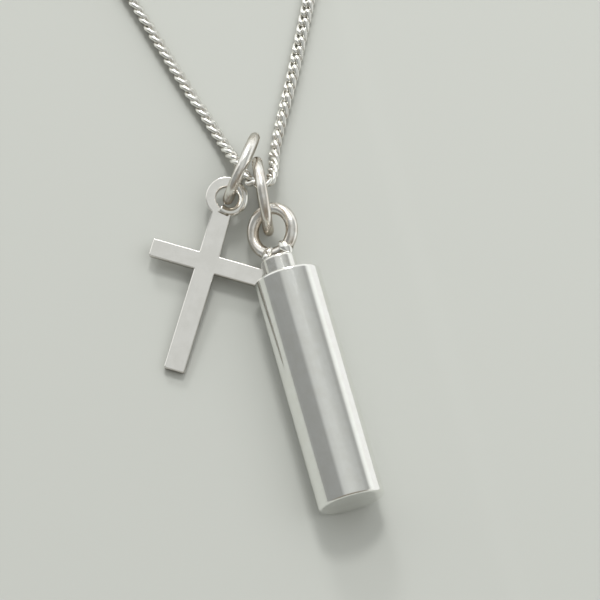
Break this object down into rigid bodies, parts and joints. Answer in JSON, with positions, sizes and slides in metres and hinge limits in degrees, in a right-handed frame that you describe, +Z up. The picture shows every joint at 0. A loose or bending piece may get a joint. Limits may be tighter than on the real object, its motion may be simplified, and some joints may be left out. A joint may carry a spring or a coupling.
{
  "type": "keepsake urn pendant necklace",
  "caption": "Slim cylindrical keepsake urn with a screw cap and soldered bail, lying with a flat cross charm on jump rings and a fine curb chain that closes in a barrel clasp.",
  "frame": {"origin": "on the surface the necklace lies on, under the middle of its bounding box", "axes": "+Z up from the surface; +Y from the urn's foot towards the clasp, along the urn's axis"},
  "size_m": [0.0986, 0.2292, 0.0096],
  "materials": {
    "polished_silver": "polished sterling silver"
  },
  "bodies": {
    "necklace": {"chain_left": "polished_silver", "chain_right": "polished_silver", "clasp": "polished_silver", "cross_jump_ring": "polished_silver", "urn_jump_ring": "polished_silver", "cross_charm": "polished_silver", "urn_cap": "polished_silver"},
    "vessel": {"urn_vessel": "polished_silver"}
  },
  "joints": [
    {"name": "urn_unscrew", "type": "slide", "parent": "necklace", "child": "vessel", "axis": [0, -1, 0], "range_m": [0, 0.006]}
  ]
}
